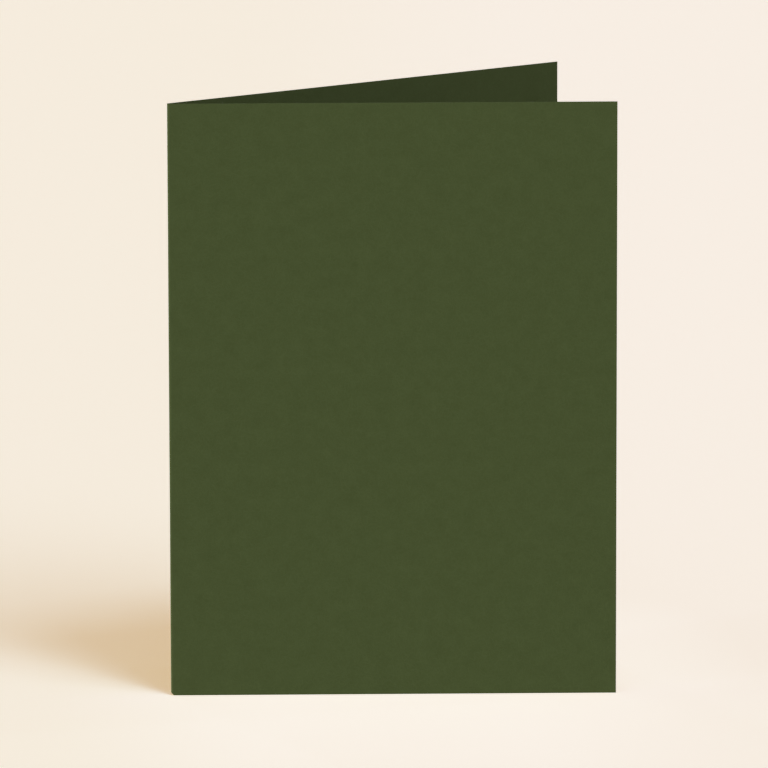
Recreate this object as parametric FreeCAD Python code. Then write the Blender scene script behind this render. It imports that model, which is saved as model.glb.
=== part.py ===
"""A greeting card: one sheet of card stock, scored, folded in half and stood partly open.

Millimetres, +Z up. The front panel faces -Y and the fold is on the -X side. The origin is at
the middle of the card's footprint, on the surface that the card stands on.
"""

import FreeCAD
import Part
import math
import os

# Driving dimensions

PANEL_WIDTH = 130.0  # from the outside of the fold to the free edge
PANEL_HEIGHT = 176.0
SHEET_THICKNESS = 0.40
OPENING_ANGLE = 28.1  # degrees between the two panels
FOLD_INNER_RADIUS = 0.15  # of the bend, inside the sheet
BEAD_REACH = 0.25  # how far the score's bead runs out along each inner face
BEAD_CROWN = 0.08  # how far the bead's middle stands out from a line across its two sides
ARRIS_RADIUS = 0.05  # the trimming knife leaves each cut edge very slightly rolled
FOOT_ROUNDING = 1.2  # the lower end of the fold is blunted, as seen from the side

# Worked out from them

FOLD_OUTER_RADIUS = FOLD_INNER_RADIUS + SHEET_THICKNESS
FOLD_MIDDLE_RADIUS = FOLD_INNER_RADIUS + SHEET_THICKNESS / 2
FLAT_WIDTH = PANEL_WIDTH - FOLD_OUTER_RADIUS  # of each panel, without its share of the bend

UP = FreeCAD.Vector(0, 0, 1)


def level_direction(degrees):
    """A level unit vector, at an angle from +X."""
    turn = math.radians(degrees)
    return FreeCAD.Vector(math.cos(turn), math.sin(turn), 0)


# Directions in plan, from the bend's centre, which is at the origin until the card is placed

ALONG_FRONT = level_direction(0)
ALONG_BACK = level_direction(OPENING_ANGLE)
OUT_OF_FRONT = level_direction(-90)
OUT_OF_BACK = level_direction(OPENING_ANGLE + 90)
INTO_OPENING = level_direction(OPENING_ANGLE / 2)
ACROSS_OPENING = level_direction(OPENING_ANGLE / 2 + 90)


def bend_arc(radius, from_back=False):
    """The bend's round stretch at one radius, from the front panel to the back one."""
    start = OUT_OF_FRONT * radius
    end = OUT_OF_BACK * radius
    if from_back:
        start, end = end, start
    return Part.Arc(start, INTO_OPENING * -radius, end).toShape()


def raised(outline):
    """A closed outline in plan, raised to the height of the card."""
    return Part.Face(Part.Wire(outline)).extrude(UP * PANEL_HEIGHT)


def cut_edges(sheet):
    """Every edge that the knife left: the level outlines, and the uprights at the free ends."""
    found = []
    for edge in sheet.Edges:
        middle = edge.valueAt((edge.FirstParameter + edge.LastParameter) / 2)
        from_bend = FreeCAD.Vector(middle.x, middle.y, 0).Length
        is_level = edge.BoundBox.ZLength < PANEL_HEIGHT / 2
        if is_level or from_bend > FLAT_WIDTH / 2:
            found.append(edge)
    return found


def bent_sheet():
    """Two straight panels and the round bend between them, with all their cut edges rolled."""
    front_outer = OUT_OF_FRONT * FOLD_OUTER_RADIUS
    front_inner = OUT_OF_FRONT * FOLD_INNER_RADIUS
    back_outer = OUT_OF_BACK * FOLD_OUTER_RADIUS
    back_inner = OUT_OF_BACK * FOLD_INNER_RADIUS
    front_run = ALONG_FRONT * FLAT_WIDTH
    back_run = ALONG_BACK * FLAT_WIDTH
    sheet = raised(
        [
            Part.makeLine(front_outer, front_outer + front_run),
            Part.makeLine(front_outer + front_run, front_inner + front_run),
            Part.makeLine(front_inner + front_run, front_inner),
            bend_arc(FOLD_INNER_RADIUS),
            Part.makeLine(back_inner, back_inner + back_run),
            Part.makeLine(back_inner + back_run, back_outer + back_run),
            Part.makeLine(back_outer + back_run, back_outer),
            bend_arc(FOLD_OUTER_RADIUS, from_back=True),
        ]
    )
    return sheet.makeFillet(ARRIS_RADIUS, cut_edges(sheet))


def score_bead():
    """The ridge that scoring raises inside the fold, rooted at the middle of the sheet."""
    front_side = OUT_OF_FRONT * FOLD_INNER_RADIUS + ALONG_FRONT * BEAD_REACH
    back_side = OUT_OF_BACK * FOLD_INNER_RADIUS + ALONG_BACK * BEAD_REACH
    crown = (front_side + back_side) * 0.5 + INTO_OPENING * BEAD_CROWN
    front_middle = OUT_OF_FRONT * FOLD_MIDDLE_RADIUS
    back_middle = OUT_OF_BACK * FOLD_MIDDLE_RADIUS
    front_root = front_middle + ALONG_FRONT * BEAD_REACH
    back_root = back_middle + ALONG_BACK * BEAD_REACH
    return raised(
        [
            Part.Arc(front_side, crown, back_side).toShape(),
            Part.makeLine(back_side, back_root),
            Part.makeLine(back_root, back_middle),
            bend_arc(FOLD_MIDDLE_RADIUS, from_back=True),
            Part.makeLine(front_middle, front_root),
            Part.makeLine(front_root, front_side),
        ]
    )


def foot_waste():
    """What is missing at the lower end of the fold: all that lies outside a quarter round."""
    inward = INTO_OPENING * FOOT_ROUNDING
    upward = UP * FOOT_ROUNDING
    half_span = ACROSS_OPENING * (FOLD_OUTER_RADIUS + FOOT_ROUNDING)
    toe = INTO_OPENING * -FOLD_OUTER_RADIUS - half_span
    on_fold = toe + upward
    on_floor = toe + inward
    halfway = toe + (inward + upward) * (1 - math.sqrt(0.5))
    outline = [
        Part.Arc(on_fold, halfway, on_floor).toShape(),
        Part.makeLine(on_floor, on_floor - upward),
        Part.makeLine(on_floor - upward, toe - inward - upward),
        Part.makeLine(toe - inward - upward, on_fold - inward),
        Part.makeLine(on_fold - inward, on_fold),
    ]
    return Part.Face(Part.Wire(outline)).extrude(half_span * 2)


def folded_card():
    """The whole card as one solid, stood on its lower edges with its footprint centred."""
    sheet = bent_sheet().fuse(score_bead()).removeSplitter()
    card = sheet.cut(foot_waste()).Solids[0]
    box = card.optimalBoundingBox(False, False)
    card.translate(FreeCAD.Vector(-box.Center.x, -box.Center.y, -box.ZMin))
    return card


card = folded_card()
os.makedirs("parts", exist_ok=True)
card.exportStep("parts/folded_card.step")

box = card.optimalBoundingBox(False, False)
print("folded_card", card.ShapeType, "valid", card.isValid(), "faces", len(card.Faces))
print("volume", round(card.Volume, 1), "mm3, area", round(card.Area, 1), "mm2")
print("X", round(box.XMin, 3), round(box.XMax, 3))
print("Y", round(box.YMin, 3), round(box.YMax, 3))
print("Z", round(box.ZMin, 3), round(box.ZMax, 3))
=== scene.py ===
# %% [markdown]
# # A folded greeting card
#
# The object is one sheet of dyed card stock, scored and folded once, standing on its lower
# edges. The sheet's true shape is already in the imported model, so nothing is modelled twice
# here. What is left to do is what makes card stock look like card stock: its colour, its
# fibres, its cut edges and its fold, and the soft light of a small photo studio.

# %% Load the frame
import math

import bpy
from mathutils import Matrix, Vector


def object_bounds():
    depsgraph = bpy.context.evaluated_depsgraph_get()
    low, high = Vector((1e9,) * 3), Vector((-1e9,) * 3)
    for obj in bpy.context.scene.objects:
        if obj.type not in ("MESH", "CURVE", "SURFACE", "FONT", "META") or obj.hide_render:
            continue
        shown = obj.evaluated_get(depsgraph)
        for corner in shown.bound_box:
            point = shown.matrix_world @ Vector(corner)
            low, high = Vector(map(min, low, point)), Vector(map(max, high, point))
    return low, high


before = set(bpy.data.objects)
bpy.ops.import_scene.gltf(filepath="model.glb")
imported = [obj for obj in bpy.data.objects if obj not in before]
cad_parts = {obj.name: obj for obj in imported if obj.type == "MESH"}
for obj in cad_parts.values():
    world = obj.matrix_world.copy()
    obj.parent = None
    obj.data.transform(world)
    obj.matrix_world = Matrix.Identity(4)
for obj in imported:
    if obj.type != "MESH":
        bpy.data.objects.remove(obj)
cad_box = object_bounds()
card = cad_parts["folded_card"]
print("CAD box in metres:", [list(corner) for corner in cad_box])

# %% [markdown]
# Every pattern on the sheet follows the sheet: fibres lie in the plane of each panel, and wear
# follows the fold and the cut edges. So the script first has to know where those are. The sizes
# could be typed in again, but they would drift from the model. It is safer to measure them on
# the mesh. Its four largest flat faces are the two sides of the two panels.

# %% Find the large faces of the sheet
MM = 0.001
PANEL_SIDES = 4
DIRECTION_DIGITS = 3  # triangles whose directions agree this far lie in one flat face
OFFSET_DIGITS = 5  # and so do their distances from the origin, to a hundredth of a millimetre


def large_faces(mesh):
    """The direction and offset of each flat face of the mesh, the largest first."""
    found = {}
    for polygon in mesh.polygons:
        if polygon.area == 0:
            continue
        direction = polygon.normal
        offset = direction.dot(mesh.vertices[polygon.vertices[0]].co)
        key = tuple(round(value, DIRECTION_DIGITS) for value in direction)
        key += (round(offset, OFFSET_DIGITS),)
        area, tilt, reach = found.get(key, (0.0, Vector(), 0.0))
        area += polygon.area
        tilt = tilt + direction * polygon.area
        reach += offset * polygon.area
        found[key] = (area, tilt, reach)
    ranked = sorted(found.values(), key=lambda item: -item[0])
    return [(tilt.normalized(), reach / area) for area, tilt, reach in ranked]


panel_faces = large_faces(card.data)[:PANEL_SIDES]
back_outer = max(panel_faces, key=lambda face: face[0].y - face[0].x)
back_inner = min(panel_faces, key=lambda face: (face[0] + back_outer[0]).length)
opening_angle = math.atan2(-back_outer[0].x, back_outer[0].y)
sheet_thickness = back_outer[1] + back_inner[1]
print("opening angle %.2f degrees" % math.degrees(opening_angle))
print("sheet %.3f mm thick" % (sheet_thickness / MM))

# %% [markdown]
# The fold is a round of the sheet about an upright line. That round touches three planes: the
# cover's front, the outside of the back panel, and the left side of the model's box. A circle
# that touches three known planes has one radius only, which is how the fold is found here.

# %% Find the fold
low, high = cad_box
corner = Vector((low.x, low.y, 0))
slack = back_outer[1] - back_outer[0].dot(corner)
fold_radius = slack / (1 - math.sin(opening_angle) + math.cos(opening_angle))
bend = Vector((low.x + fold_radius, low.y + fold_radius, 0))
panel_width = high.x - low.x
panel_height = high.z - low.z
flat_width = panel_width - fold_radius
print("fold %.3f mm outside radius" % (fold_radius / MM))
print("panel %.2f x %.2f mm" % (panel_width / MM, panel_height / MM))

# %% [markdown]
# The photograph is taken with a long lens from a little above the card: its upright edges
# hardly converge. The camera could be placed by eye, but a card has straight edges and sharp
# corners, so the distance, the height and the turn were worked out from the edges that show.
# The camera aims at the middle of the cover, apart from a small offset.

# %% Place the camera
FRAME_SIDE = 768
SENSOR_WIDTH = 36.0
FOCAL_LENGTH = 479.6
CAMERA_DISTANCE = 2.9705
LOOK_DOWN = math.radians(12.642)
LOOK_ASIDE = math.radians(0.904)
CAMERA_ROLL = math.radians(-0.134)
OFFSET_RIGHT = -2.60 * MM
OFFSET_UP = 4.740 * MM
VIEW_LIMIT = 100.0  # metres, further than the backdrop reaches


def camera_axes(aside, down, roll):
    """The camera's right, up and forward directions."""
    level_forward = Vector((math.sin(aside), math.cos(aside), 0))
    forward = level_forward * math.cos(down) - Vector((0, 0, math.sin(down)))
    level_right = Vector((math.cos(aside), -math.sin(aside), 0))
    level_up = level_right.cross(forward)
    right = level_right * math.cos(roll) + level_up * math.sin(roll)
    up = level_up * math.cos(roll) - level_right * math.sin(roll)
    return right, up, forward


right, up, forward = camera_axes(LOOK_ASIDE, LOOK_DOWN, CAMERA_ROLL)
cover_middle = Vector((0, low.y, panel_height / 2))
camera_place = cover_middle - forward * CAMERA_DISTANCE + right * OFFSET_RIGHT + up * OFFSET_UP
camera_turn = Matrix((right, up, -forward)).transposed().to_4x4()
camera_data = bpy.data.cameras.new("long_lens")
camera_data.sensor_width = SENSOR_WIDTH
camera_data.lens = FOCAL_LENGTH
camera_data.clip_end = VIEW_LIMIT
camera = bpy.data.objects.new("camera", camera_data)
camera.matrix_world = Matrix.Translation(camera_place) @ camera_turn
bpy.context.scene.collection.objects.link(camera)
bpy.context.scene.camera = camera
pixel_size = SENSOR_WIDTH / FOCAL_LENGTH * CAMERA_DISTANCE / FRAME_SIDE
print("one pixel of the picture is %.3f mm on the cover" % (pixel_size / MM))

# %% [markdown]
# Three small helpers serve every material. Colours are written as the sRGB values that a colour
# picker gives, and one function turns them into the linear values that the renderer works
# with. Another adds one node, with its settings and whatever is joined to it. An input that is
# a number or a colour is set on the node, and one that is a socket is linked. The third starts
# an empty material.
#
# A node's inputs are found by name or by place. Blender's Mix node has a set of inputs for each
# kind of value, all with the same names, so the places of the ones used here have names too.

# %% Helpers for the materials
FACTOR = 0  # places of a Mix node's inputs
VECTOR_A, VECTOR_B = 4, 5
COLOUR_A, COLOUR_B = 6, 7
MIXED_VECTOR, MIXED_COLOUR = 1, 2  # places of its outputs


def linear(hex_colour):
    """An sRGB hex colour, such as #424D29, as linear red, green, blue and alpha."""
    channels = [int(hex_colour[place:place + 2], 16) / 255 for place in (1, 3, 5)]
    turned = [c / 12.92 if c <= 0.04045 else ((c + 0.055) / 1.055) ** 2.4 for c in channels]
    return (*turned, 1.0)


def add_node(tree, kind, inputs=None, **settings):
    """Adds a node with its settings. Each input is a number, a colour or a node's socket."""
    node = tree.nodes.new(kind)
    for name, value in settings.items():
        setattr(node, name, value)
    for name, value in (inputs or {}).items():
        if isinstance(value, bpy.types.NodeSocket):
            tree.links.new(value, node.inputs[name])
        else:
            node.inputs[name].default_value = value
    return node


def new_material(name):
    """An empty node material and its output node."""
    material = bpy.data.materials.new(name)
    material.use_nodes = True
    material.node_tree.nodes.clear()
    output = add_node(material.node_tree, "ShaderNodeOutputMaterial")
    return material, material.node_tree, output


print("the card's green in linear light:", [round(value, 4) for value in linear("#424D29")[:3]])

# %% [markdown]
# A studio background can look pale without lighting the object more. The trick is to ask what
# kind of ray has arrived. Rays from the camera, and rays that gloss or glass sends on, are given
# the look that the picture needs. All other rays carry light to the object, and are given plain
# cream paper. The backdrop and the room both use this, so it is written once.

# %% Tell seeing rays from lighting rays


def seeing_rays(tree):
    """A socket that is 1 for rays that show a surface, straight or by gloss or glass."""
    path = add_node(tree, "ShaderNodeLightPath")
    straight_or_gloss = add_node(
        tree, "ShaderNodeMath",
        {0: path.outputs["Is Camera Ray"], 1: path.outputs["Is Glossy Ray"]},
        operation="MAXIMUM",
    )
    seeing = add_node(
        tree, "ShaderNodeMath",
        {0: straight_or_gloss.outputs[0], 1: path.outputs["Is Transmission Ray"]},
        operation="MAXIMUM",
    )
    return seeing.outputs[0]


print("camera, glossy and transmission rays see the backdrop's look")

# %% [markdown]
# The backdrop is a roll of cream studio paper that runs under the card and away behind it with
# no corner and no horizon. It is a little cooler on the right. The card's shadow on it is
# warmer than the paper, as light reflected from paper to paper is, and that warmth is painted.
# Part of the paper's look comes from the light that falls on it, and shadow takes that away,
# and part is a steady painted glow, warmer than the lamps, that shadow leaves. Two tones decide
# how much is which: the paper in full light and the paper in the deepest shadow.

# %% Tones of the backdrop paper
FLOOR_LIGHT = 0.337  # what reaches the floor, where 1 shows a colour as it is written
DEEPEST_SHADE = 0.315  # the share of that light which is left where the shadow is darkest
paper_left = linear("#F5EBDC")
paper_right = linear("#F7EDE2")
# the tone of the painted pool of light in front of the card
painted_pool_tone = linear("#FCF3EC")
paper_shaded = linear("#D8BD9B")


def without(tone, part):
    """What is left of a tone when part of it is taken away."""
    return (*[max(whole - taken, 0.0) for whole, taken in zip(tone[:3], part)], 1.0)


paper_fall = [
    (lit - shaded) / (1 - DEEPEST_SHADE) for lit, shaded in zip(paper_left[:3], paper_shaded[:3])
]
paper_tint = [fall / FLOOR_LIGHT for fall in paper_fall]
print("backdrop tint", [round(value, 3) for value in paper_tint])
print("backdrop glow", [round(value, 3) for value in without(paper_left, paper_fall)[:3]])

# %% [markdown]
# In the photograph the paper is lightest just in front of the card, and that pool of light
# fades towards the sides and towards the viewer. A lamp there would light the cover too, so the
# pool is part of the glow. Its shape is three fades multiplied together: across, forwards, and
# a short one that starts it at the card's foot.

# %% Pool of light in front
# The pool is painted light. Next to the card's foot it also lifts the shade that the card casts
# there.
POOL_SIDES = (0.030, 0.110)  # metres to each side, from full strength to none
POOL_START = (-0.012, 0.003)  # metres in front of the cover, from none to full strength
POOL_REACH = 0.18  # metres in front of the cover, where it has faded away

backdrop_paper, tree, output = new_material("backdrop_paper")
coordinates = add_node(tree, "ShaderNodeTexCoord")
floor_place = add_node(tree, "ShaderNodeSeparateXYZ", {0: coordinates.outputs["Object"]})
from_middle = add_node(
    tree, "ShaderNodeMath", {0: floor_place.outputs["X"]}, operation="ABSOLUTE",
)
pool_across = add_node(
    tree, "ShaderNodeMapRange",
    {"Value": from_middle.outputs[0], "From Min": POOL_SIDES[0], "From Max": POOL_SIDES[1],
     "To Min": 1.0, "To Max": 0.0},
    interpolation_type="SMOOTHSTEP",
)
before_cover = add_node(
    tree, "ShaderNodeMath", {0: low.y, 1: floor_place.outputs["Y"]}, operation="SUBTRACT",
)
pool_forwards = add_node(
    tree, "ShaderNodeMapRange",
    {"Value": before_cover.outputs[0], "From Min": 0.0, "From Max": POOL_REACH,
     "To Min": 1.0, "To Max": 0.0},
)
pool_start = add_node(
    tree, "ShaderNodeMapRange",
    {"Value": before_cover.outputs[0], "From Min": POOL_START[0], "From Max": POOL_START[1]},
    interpolation_type="SMOOTHSTEP",
)
pool_patch = add_node(
    tree, "ShaderNodeMath", {0: pool_across.outputs[0], 1: pool_forwards.outputs[0]},
    operation="MULTIPLY",
)
pool = add_node(
    tree, "ShaderNodeMath", {0: pool_patch.outputs[0], 1: pool_start.outputs[0]},
    operation="MULTIPLY",
)
print("the pool fades away %.0f mm in front of the cover" % (POOL_REACH / MM))

# %% [markdown]
# The card opens to the right, and there its two panels hide half of the room from the paper.
# That would leave a brown patch beside the opening. The photograph has none, so a little glow
# makes up for it. The glow is an oval, strongest beside the opening. It stops where the pool in
# front begins, and it does not go into the card, where the paper really is dark.

# %% Glow beside the opening
OPENING_SPOT = (0.062, 0.0, 0.0)  # the middle of the oval, in metres
OPENING_OVAL = (1.0, 0.5, 0.0)  # a step along Y counts half, so the oval is longer that way
OPENING_REACH = (0.008, 0.046)  # metres across the oval, from full strength to none
OPENING_SIDE = (0.055, 0.066)  # metres along X, from none in the card to full strength
OPENING_GLOW = 0.15  # of what full light adds to the paper

from_opening = add_node(
    tree, "ShaderNodeVectorMath", {0: coordinates.outputs["Object"], 1: OPENING_SPOT},
    operation="SUBTRACT",
)
across_oval = add_node(
    tree, "ShaderNodeVectorMath", {0: from_opening.outputs[0], 1: OPENING_OVAL},
    operation="MULTIPLY",
)
out_of_oval = add_node(
    tree, "ShaderNodeVectorMath", {0: across_oval.outputs[0]}, operation="LENGTH",
)
oval = add_node(
    tree, "ShaderNodeMapRange",
    {"Value": out_of_oval.outputs["Value"], "From Min": OPENING_REACH[0],
     "From Max": OPENING_REACH[1], "To Min": OPENING_GLOW, "To Max": 0.0},
)
outside_card = add_node(
    tree, "ShaderNodeMapRange",
    {"Value": floor_place.outputs["X"], "From Min": OPENING_SIDE[0], "From Max": OPENING_SIDE[1]},
    interpolation_type="SMOOTHSTEP",
)
behind_pool = add_node(
    tree, "ShaderNodeMath", {0: 1.0, 1: pool_start.outputs[0]}, operation="SUBTRACT",
)
oval_outside = add_node(
    tree, "ShaderNodeMath", {0: oval.outputs[0], 1: outside_card.outputs[0]},
    operation="MULTIPLY",
)
given_back = add_node(
    tree, "ShaderNodeMath", {0: oval_outside.outputs[0], 1: behind_pool.outputs[0]},
    operation="MULTIPLY",
)
print("%.0f%% of the light is given back beside the opening" % (100 * OPENING_GLOW))

# %% [markdown]
# Now the paper itself. The glow goes from the left tone to the right one, with the pool and the
# oval by the opening on it. The part that takes light is a plain diffuse surface, which is what
# uncoated paper nearly is. Lighting rays get a plain diffuse cream and no glow at all.

# %% Backdrop paper
SIDE_FADE = (-0.06, 0.08)  # metres along X, from the left tone to the right one
LIGHTING_CREAM = linear("#EAE4D8")  # what lighting rays meet

to_the_right = add_node(
    tree, "ShaderNodeMapRange",
    {"Value": floor_place.outputs["X"], "From Min": SIDE_FADE[0], "From Max": SIDE_FADE[1]},
    interpolation_type="SMOOTHSTEP",
)
side_glow = add_node(
    tree, "ShaderNodeMix",
    {FACTOR: to_the_right.outputs[0], COLOUR_A: without(paper_left, paper_fall),
     COLOUR_B: without(paper_right, paper_fall)},
    data_type="RGBA",
)
# the painted pool of light in front of the card joins the glow
pool_glow = add_node(
    tree, "ShaderNodeMix",
    {FACTOR: pool.outputs[0], COLOUR_A: side_glow.outputs[MIXED_COLOUR],
     COLOUR_B: without(painted_pool_tone, paper_fall)},
    data_type="RGBA",
)
paper_glow = add_node(
    tree, "ShaderNodeMix",
    {FACTOR: given_back.outputs[0], COLOUR_A: pool_glow.outputs[MIXED_COLOUR],
     COLOUR_B: (*paper_fall, 1.0)},
    data_type="RGBA", blend_type="ADD",
)
plain = add_node(tree, "ShaderNodeBsdfDiffuse", {"Color": LIGHTING_CREAM})
lit = add_node(tree, "ShaderNodeBsdfDiffuse", {"Color": (*paper_tint, 1.0)})
# this steady glow stays where the shadow falls, so it paints the shadow's warm tone
glow = add_node(
    tree, "ShaderNodeEmission", {"Color": paper_glow.outputs[MIXED_COLOUR], "Strength": 1.0},
)
look = add_node(tree, "ShaderNodeAddShader", {0: lit.outputs[0], 1: glow.outputs[0]})
paper = add_node(
    tree, "ShaderNodeMixShader", {0: seeing_rays(tree), 1: plain.outputs[0], 2: look.outputs[0]},
)
tree.links.new(paper.outputs[0], output.inputs["Surface"])
print("backdrop paper made of", len(tree.nodes), "nodes")

# %% [markdown]
# The paper could be modelled as a curved sweep, as it hangs in a studio, but a sweep would
# stand in the way of a camera that looks from the other side. One very large flat sheet has no
# wrong side, and the room has nearly the same cream where the sheet ends.

# %% Lay the backdrop paper under the card
PAPER_SIDE = 60.0  # metres
half_side = PAPER_SIDE / 2
paper_corners = [
    (-half_side, -half_side, low.z), (half_side, -half_side, low.z),
    (half_side, half_side, low.z), (-half_side, half_side, low.z),
]
backdrop_mesh = bpy.data.meshes.new("backdrop")
backdrop_mesh.from_pydata(paper_corners, [], [(0, 1, 2, 3)])
backdrop_mesh.materials.append(backdrop_paper)
backdrop = bpy.data.objects.new("backdrop", backdrop_mesh)
bpy.context.scene.collection.objects.link(backdrop)
print("backdrop laid at z = %.4f m" % low.z)

# %% [markdown]
# The key light is a tall soft box that stands on the right and leans over the card. It gives
# the shadow at the left, sharp at the card's foot and soft further away. One round source
# can't give that shape of shadow, so there are two: a small one high up, and a wide one lower
# down and further round to the right.
#
# Three white boards lift the upright panels. They stand so low that the floor hardly gets any
# of their light. The left board is in line with the back panel: it lights the cover and leaves
# the inside of the back panel in the shade that the photograph shows. The back board lights the
# back, and the side board looks straight into the opening.
#
# All of them are sun lamps. Their rays are parallel, so the floor is equally bright
# everywhere, and a sun's angle is how wide the source looks from the card.

# %% Lamps
LAMP_DISTANCE = 2.0  # metres, only to keep the lamps in sight: a sun's place has no effect


def add_sun(name, turn, height, width, level):
    """A soft source. Turn is to the right of the front; turn, height and width are in degrees.

    At a level of 1 the lamp alone shows a colour that faces it as it is written."""
    data = bpy.data.lights.new(name, "SUN")
    data.energy = level * math.pi
    data.angle = math.radians(width)
    lamp = bpy.data.objects.new(name, data)
    level_way = Vector((math.sin(math.radians(turn)), -math.cos(math.radians(turn)), 0))
    rise = math.radians(height)
    to_lamp = level_way * math.cos(rise) + Vector((0, 0, math.sin(rise)))
    lamp.rotation_euler = to_lamp.to_track_quat("Z", "Y").to_euler()
    lamp.location = to_lamp * LAMP_DISTANCE
    bpy.context.scene.collection.objects.link(lamp)
    print("%s at %.0f degrees, %.1f high, level %.2f" % (name, turn, height, level))


add_sun("key_high", turn=33.7, height=61.4, width=13.9, level=0.118)
add_sun("key_low", turn=50.3, height=38.5, width=31.7, level=0.150)
add_sun("left_board", turn=-62, height=0.3, width=0.5, level=1.035)
add_sun("back_board", turn=-150, height=0.5, width=0.9, level=0.62)
add_sun("side_board", turn=104, height=0.5, width=0.9, level=0.58)

# %% [markdown]
# The last of the light is the room itself, a pale dome that fills the shadows. It is brighter
# in front of the card than behind it. With an even dome the card would shade the floor in front
# of it too much. Where the camera sees the room it is the backdrop's own cream, so there is no
# horizon from any side. The picture's colours are kept as they are written, with Blender's
# Standard view.

# %% Room light
ROOM_FRONT = 0.20
ROOM_BEHIND = 0.08
ROOM_FADE = (-0.6, 0.3)  # along Y on a dome of radius 1, from the front level to the back one
ROOM_WHITE = linear("#FFFFFF")
ROOM_CREAM = linear("#F6ECE0")

room = bpy.data.worlds.new("room")
room.use_nodes = True
tree = room.node_tree
tree.nodes.clear()
world_output = add_node(tree, "ShaderNodeOutputWorld")
directions = add_node(tree, "ShaderNodeTexCoord")
way_out = add_node(tree, "ShaderNodeSeparateXYZ", {0: directions.outputs["Generated"]})
room_level = add_node(
    tree, "ShaderNodeMapRange",
    {"Value": way_out.outputs["Y"], "From Min": ROOM_FADE[0], "From Max": ROOM_FADE[1],
     "To Min": ROOM_FRONT, "To Max": ROOM_BEHIND},
    interpolation_type="SMOOTHSTEP",
)
room_light = add_node(
    tree, "ShaderNodeBackground",
    {"Color": ROOM_WHITE, "Strength": room_level.outputs[0]},
)
room_look = add_node(
    tree, "ShaderNodeBackground", {"Color": ROOM_CREAM, "Strength": 1.0},
)
room_mix = add_node(
    tree, "ShaderNodeMixShader",
    {0: seeing_rays(tree), 1: room_light.outputs[0], 2: room_look.outputs[0]},
)
tree.links.new(room_mix.outputs[0], world_output.inputs["Surface"])
bpy.context.scene.world = room
bpy.context.scene.view_settings.view_transform = "Standard"
print("room light: %.2f in front, %.2f behind" % (ROOM_FRONT, ROOM_BEHIND))

# %% [markdown]
# Paper has a grain that belongs to the flat sheet, before it is folded. If the pattern were
# laid over the standing card as it is, it would run straight through both panels and would be
# cut off at the fold. Unwrapping the mesh would be one way out. The material can also do it by
# itself, because a folded sheet is such a simple shape: it turns the back panel onto the front
# one, about the line in the middle of the bend.

# %% Turn the back panel onto the front one
card_stock, tree, output = new_material("through_dyed_card_stock")
across_opening = Vector((-math.sin(opening_angle / 2), math.cos(opening_angle / 2), 0))

coordinates = add_node(tree, "ShaderNodeTexCoord")
from_bend = add_node(
    tree, "ShaderNodeVectorMath", {0: coordinates.outputs["Object"], 1: bend},
    operation="SUBTRACT",
)
turned = add_node(
    tree, "ShaderNodeVectorRotate", {"Vector": from_bend.outputs[0], "Angle": -opening_angle},
    rotation_type="Z_AXIS",
)
side = add_node(
    tree, "ShaderNodeVectorMath", {0: from_bend.outputs[0], 1: across_opening},
    operation="DOT_PRODUCT",
)
on_back = add_node(
    tree, "ShaderNodeMath", {0: side.outputs["Value"], 1: 0.0}, operation="GREATER_THAN",
)
panel = add_node(
    tree, "ShaderNodeMix",
    {FACTOR: on_back.outputs[0], VECTOR_A: from_bend.outputs[0], VECTOR_B: turned.outputs[0]},
    data_type="VECTOR",
)
panel_place = add_node(tree, "ShaderNodeSeparateXYZ", {0: panel.outputs[MIXED_VECTOR]})
along = panel_place.outputs["X"]
height = panel_place.outputs["Z"]
depth = add_node(tree, "ShaderNodeMath", {0: panel_place.outputs["Y"]}, operation="ABSOLUTE")
print("the back panel is turned by %.2f degrees" % -math.degrees(opening_angle))

# %% [markdown]
# What is left is the round of the fold, which has to be rolled out. A point on the round has
# turned by some angle about the bend, and the angle times the radius is how far round it is.
# After that, each point of the card has a place on the flat sheet: along it from the fold, to
# one side for the cover and to the other for the back, up it, and how deep in the sheet.

# %% Roll out the fold
half_arc = fold_radius * (math.pi - opening_angle) / 2

past_bend = add_node(tree, "ShaderNodeMath", {0: along, 1: 0.0}, operation="MAXIMUM")
behind = add_node(tree, "ShaderNodeMath", {0: along, 1: -1.0}, operation="MULTIPLY")
behind_bend = add_node(
    tree, "ShaderNodeMath", {0: behind.outputs[0], 1: 0.0}, operation="MAXIMUM",
)
bend_turn = add_node(
    tree, "ShaderNodeMath", {0: behind_bend.outputs[0], 1: depth.outputs[0]},
    operation="ARCTAN2",
)
bend_run = add_node(
    tree, "ShaderNodeMath", {0: bend_turn.outputs[0], 1: -fold_radius, 2: half_arc},
    operation="MULTIPLY_ADD",
)
from_fold = add_node(
    tree, "ShaderNodeMath", {0: past_bend.outputs[0], 1: bend_run.outputs[0]}, operation="ADD",
)
side_of_fold = add_node(
    tree, "ShaderNodeMath", {0: on_back.outputs[0], 1: -2.0, 2: 1.0}, operation="MULTIPLY_ADD",
)
on_sheet = add_node(
    tree, "ShaderNodeMath", {0: from_fold.outputs[0], 1: side_of_fold.outputs[0]},
    operation="MULTIPLY",
)
sheet_place = add_node(
    tree, "ShaderNodeCombineXYZ",
    {"X": on_sheet.outputs[0], "Y": height, "Z": depth.outputs[0]},
)
print("the round of the fold takes up %.2f mm of the sheet" % (2 * half_arc / MM))

# %% [markdown]
# The card is uncoated stock of about 350 grams per square metre. Its pulp was dyed before the
# sheet was made, so the green goes right through and a cut edge is green too. It was pressed
# between felts, not glazed, which gives a dead matt surface with a faint tooth. Held to the
# light, such a sheet is slightly cloudy, because the fibres settle in clumps some millimetres
# wide. The clouds and the tooth are plain noise at those sizes.

# %% Clouds and tooth of the card
CLUMP_SIZE = 5.0 * MM
TOOTH_SIZE = 0.8 * MM
LAYERS_PER_PATTERN = 9.0  # fibres lie flat, so through the sheet it is this much finer
PULP_DETAIL = 3.0  # how many times a finer noise is laid over the first
CLUMP_ROUGHNESS = 0.6  # how strong the finer noise is
TOOTH_ROUGHNESS = 0.55

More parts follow.
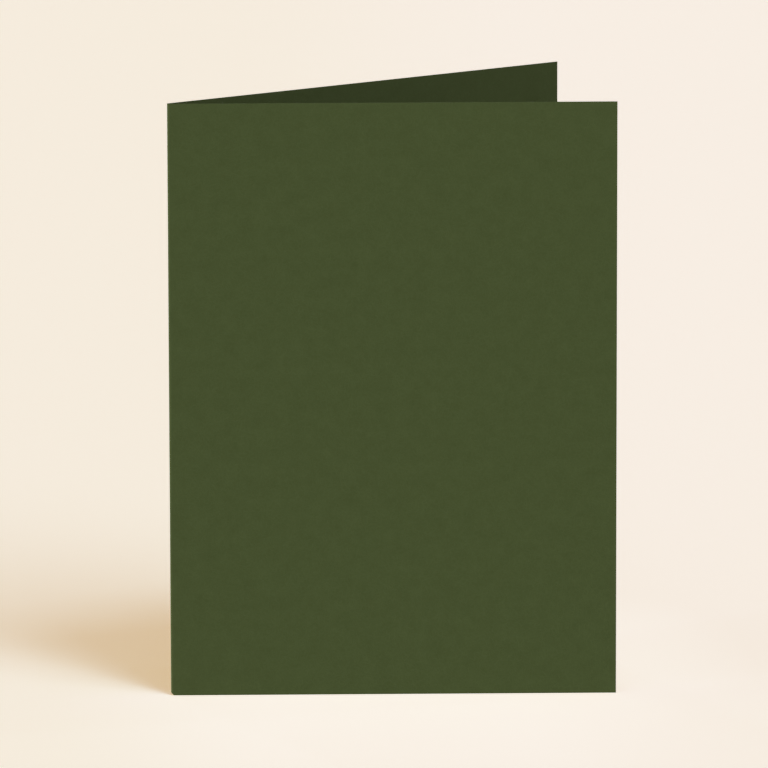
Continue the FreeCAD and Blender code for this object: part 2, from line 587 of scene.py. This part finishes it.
layered = add_node(
    tree, "ShaderNodeVectorMath",
    {0: sheet_place.outputs[0], 1: (1.0, 1.0, LAYERS_PER_PATTERN)}, operation="MULTIPLY",
)
clumps = add_node(
    tree, "ShaderNodeTexNoise",
    {"Vector": layered.outputs[0], "Scale": 1 / CLUMP_SIZE, "Detail": PULP_DETAIL,
     "Roughness": CLUMP_ROUGHNESS},
)
tooth = add_node(
    tree, "ShaderNodeTexNoise",
    {"Vector": layered.outputs[0], "Scale": 1 / TOOTH_SIZE, "Detail": PULP_DETAIL,
     "Roughness": TOOTH_ROUGHNESS},
)
print("clumps every %.0f mm, tooth every %.1f mm" % (CLUMP_SIZE / MM, TOOTH_SIZE / MM))

# %% [markdown]
# The fibres are wood pulp, one to three millimetres long and about 0.03 mm wide, and they lie
# every way in the plane of the sheet. That width is a tenth of a pixel here, so they are drawn
# several times wider. Separate curves for thousands of fibres would be slow. Instead, noise is
# stretched along one direction and only its peaks are kept, which leaves short streaks. Four
# such layers, turned to different directions and bent a little by a slower noise, look like
# the tangle of real fibres.

# %% Fibres of the card
FIBRE_LENGTH = 1.4 * MM  # of the noise: a streak comes out about twice as long
FIBRE_WIDTH = 0.16 * MM
FIBRE_TURNS = (14, 62, 101, 151)  # degrees from the direction along the sheet
FIBRE_PEAKS = (0.58, 0.74)  # noise values where a streak begins and where it is full
FIBRE_WANDER = 1.4 * MM  # how far a streak is pushed aside
WANDER_SIZE = 2.2 * MM  # of the slower noise that bends it
WANDER_DETAIL = 1.0
STREAK_DETAIL = 0.0  # smooth noise, so that a streak stays whole

wander = add_node(
    tree, "ShaderNodeTexNoise",
    {"Vector": layered.outputs[0], "Scale": 1 / WANDER_SIZE, "Detail": WANDER_DETAIL},
)
bent = add_node(
    tree, "ShaderNodeVectorMath",
    {0: wander.outputs["Color"], 1: (FIBRE_WANDER, FIBRE_WANDER, 0.0),
     2: sheet_place.outputs[0]},
    operation="MULTIPLY_ADD",
)
fibres = None
for turn in FIBRE_TURNS:
    lying = add_node(
        tree, "ShaderNodeVectorRotate",
        {"Vector": bent.outputs[0], "Angle": math.radians(turn)}, rotation_type="Z_AXIS",
    )
    stretched = add_node(
        tree, "ShaderNodeVectorMath",
        {0: lying.outputs[0], 1: (1 / FIBRE_LENGTH, 1 / FIBRE_WIDTH, 1 / FIBRE_WIDTH)},
        operation="MULTIPLY",
    )
    streaks = add_node(
        tree, "ShaderNodeTexNoise",
        {"Vector": stretched.outputs[0], "Scale": 1.0, "Detail": STREAK_DETAIL},
    )
    peaks = add_node(
        tree, "ShaderNodeMapRange",
        {"Value": streaks.outputs[0], "From Min": FIBRE_PEAKS[0], "From Max": FIBRE_PEAKS[1]},
        interpolation_type="SMOOTHSTEP",
    )
    if fibres is None:
        fibres = peaks
    else:
        fibres = add_node(
            tree, "ShaderNodeMath", {0: fibres.outputs[0], 1: peaks.outputs[0]},
            operation="MAXIMUM",
        )
print("fibres in %d directions, drawn %.2f mm wide" % (len(FIBRE_TURNS), FIBRE_WIDTH / MM))

# %% [markdown]
# A guillotine knife left the cut edges, where the fibres' ends stand out: a little paler and
# rougher than the face. They are where the distance to the nearest of the top, the foot and
# the free edge is almost nothing. Those distances are known from the rolled-out sheet, so the
# mask needs no selection of faces.

# %% Cut edges
EDGE_DEPTH = 0.12 * MM

below_top = add_node(
    tree, "ShaderNodeMath", {0: panel_height, 1: height}, operation="SUBTRACT",
)
inside_free_edge = add_node(
    tree, "ShaderNodeMath", {0: flat_width, 1: along}, operation="SUBTRACT",
)
level_edge = add_node(
    tree, "ShaderNodeMath", {0: height, 1: below_top.outputs[0]}, operation="MINIMUM",
)
nearest_edge = add_node(
    tree, "ShaderNodeMath", {0: level_edge.outputs[0], 1: inside_free_edge.outputs[0]},
    operation="MINIMUM",
)
cut_edge = add_node(
    tree, "ShaderNodeMapRange",
    {"Value": nearest_edge.outputs[0], "From Min": 0.0, "From Max": EDGE_DEPTH,
     "To Min": 1.0, "To Max": 0.0},
)
print("cut edges are paler within %.2f mm" % (EDGE_DEPTH / MM))

# %% [markdown]
# Folding stretched the outside of the fold, and handling rubs it, most of all at its foot,
# where the card stands. The wear follows the tooth, as the high spots are rubbed first. On the
# inside the scoring rule pressed the sheet smooth along a narrow line before it was folded.

# %% Fold and score
FOLD_REACH = 1.1 * MM
FOOT_REACH = 5.0 * MM
WEAR_ABOVE_FOOT = 0.35  # of what it is at the foot
WORN_TOOTH = (0.45, 0.65)  # tooth values that are rubbed least and most
LEAST_WEAR = 0.3
SCORE_REACH = 0.9 * MM

fold = add_node(
    tree, "ShaderNodeMapRange",
    {"Value": from_fold.outputs[0], "From Min": 0.0, "From Max": FOLD_REACH,
     "To Min": 1.0, "To Max": 0.0},
    interpolation_type="SMOOTHSTEP",
)
foot = add_node(
    tree, "ShaderNodeMapRange",
    {"Value": height, "From Min": 0.0, "From Max": FOOT_REACH,
     "To Min": 1.0, "To Max": WEAR_ABOVE_FOOT},
    interpolation_type="SMOOTHSTEP",
)
rubbed = add_node(
    tree, "ShaderNodeMath", {0: fold.outputs[0], 1: foot.outputs[0]}, operation="MULTIPLY",
)
high_spots = add_node(
    tree, "ShaderNodeMapRange",
    {"Value": tooth.outputs[0], "From Min": WORN_TOOTH[0], "From Max": WORN_TOOTH[1],
     "To Min": LEAST_WEAR, "To Max": 1.0},
)
wear = add_node(
    tree, "ShaderNodeMath", {0: rubbed.outputs[0], 1: high_spots.outputs[0]},
    operation="MULTIPLY",
)
inner_side = add_node(
    tree, "ShaderNodeMath", {0: depth.outputs[0], 1: fold_radius - sheet_thickness / 2},
    operation="LESS_THAN",
)
near_score = add_node(
    tree, "ShaderNodeMapRange",
    {"Value": from_fold.outputs[0], "From Min": SCORE_REACH, "From Max": SCORE_REACH * 2,
     "To Min": 1.0, "To Max": 0.0},
)
pressed = add_node(
    tree, "ShaderNodeMath", {0: near_score.outputs[0], 1: inner_side.outputs[0]},
    operation="MULTIPLY",
)
print("wear reaches %.1f mm round the fold and %.0f mm up it" % (FOLD_REACH / MM, FOOT_REACH / MM))

# %% [markdown]
# The colour comes from these few patterns. The differences are kept small: in the photograph
# the cover is one even green, and the eye reads paper from the soft unevenness close up. Clouds,
# fibres and cut edges all lead to the same paler green, and wear leads to a greyer one.

# %% Colour of the card
GREEN = linear("#424D29")
PALE_GREEN = linear("#4B5732")
WORN_GREEN = linear("#69724D")
NOISE_SPREAD = (0.3, 0.7)  # nearly all of a noise's values lie between these
CLOUD_SHARE = 0.35
FIBRE_SHARE = 0.35
EDGE_SHARE = 0.45
WEAR_SHARE = 0.55

cloud_mix = add_node(
    tree, "ShaderNodeMapRange",
    {"Value": clumps.outputs[0], "From Min": NOISE_SPREAD[0], "From Max": NOISE_SPREAD[1],
     "To Min": 0.0, "To Max": CLOUD_SHARE},
)
fibre_mix = add_node(
    tree, "ShaderNodeMath", {0: fibres.outputs[0], 1: FIBRE_SHARE, 2: cloud_mix.outputs[0]},
    operation="MULTIPLY_ADD",
)
edge_mix = add_node(
    tree, "ShaderNodeMath", {0: cut_edge.outputs[0], 1: EDGE_SHARE, 2: fibre_mix.outputs[0]},
    operation="MULTIPLY_ADD",
)
wear_mix = add_node(
    tree, "ShaderNodeMath", {0: wear.outputs[0], 1: WEAR_SHARE}, operation="MULTIPLY",
)
dyed = add_node(
    tree, "ShaderNodeMix",
    {FACTOR: edge_mix.outputs[0], COLOUR_A: GREEN, COLOUR_B: PALE_GREEN},
    data_type="RGBA", clamp_factor=True,
)
worn = add_node(
    tree, "ShaderNodeMix",
    {FACTOR: wear_mix.outputs[0], COLOUR_A: dyed.outputs[MIXED_COLOUR], COLOUR_B: WORN_GREEN},
    data_type="RGBA", clamp_factor=True,
)
print("greens for the sheet, its fibres and its wear are mixed")

# %% [markdown]
# Paper's refractive index is about 1.5, but its open surface scatters most of what a smooth one
# would reflect, so the specular level is well below the usual half, and the roughness is near
# 0.9, a little less where the score is pressed. The tooth and the fibres stand out by about a
# hundredth of a millimetre. That is far too little to model, so it is a bump, with its height
# in metres like everything else.

# %% Finish of the card
PAPER_IOR = 1.5
PAPER_SPECULAR = 0.18
ROUGHNESS_SPREAD = (0.84, 0.94)
PRESSED_CHANGE = -0.18
TOOTH_HEIGHT = 0.010 * MM
FIBRE_HEIGHT = 0.006 * MM

matt = add_node(
    tree, "ShaderNodeMapRange",
    {"Value": tooth.outputs[0], "From Min": NOISE_SPREAD[0], "From Max": NOISE_SPREAD[1],
     "To Min": ROUGHNESS_SPREAD[0], "To Max": ROUGHNESS_SPREAD[1]},
)
roughness = add_node(
    tree, "ShaderNodeMath", {0: pressed.outputs[0], 1: PRESSED_CHANGE, 2: matt.outputs[0]},
    operation="MULTIPLY_ADD",
)
tooth_relief = add_node(
    tree, "ShaderNodeMath", {0: tooth.outputs[0], 1: TOOTH_HEIGHT}, operation="MULTIPLY",
)
relief = add_node(
    tree, "ShaderNodeMath", {0: fibres.outputs[0], 1: FIBRE_HEIGHT, 2: tooth_relief.outputs[0]},
    operation="MULTIPLY_ADD",
)
bump = add_node(
    tree, "ShaderNodeBump", {"Strength": 1.0, "Distance": 1.0, "Height": relief.outputs[0]},
)
stock = add_node(
    tree, "ShaderNodeBsdfPrincipled",
    {"Base Color": worn.outputs[MIXED_COLOUR], "Roughness": roughness.outputs[0],
     "Normal": bump.outputs[0], "IOR": PAPER_IOR, "Specular IOR Level": PAPER_SPECULAR},
)
tree.links.new(stock.outputs[0], output.inputs["Surface"])
for material_slot in card.material_slots:
    material_slot.material = card_stock
print("card finished with", card_stock.name, "using", len(tree.nodes), "nodes")
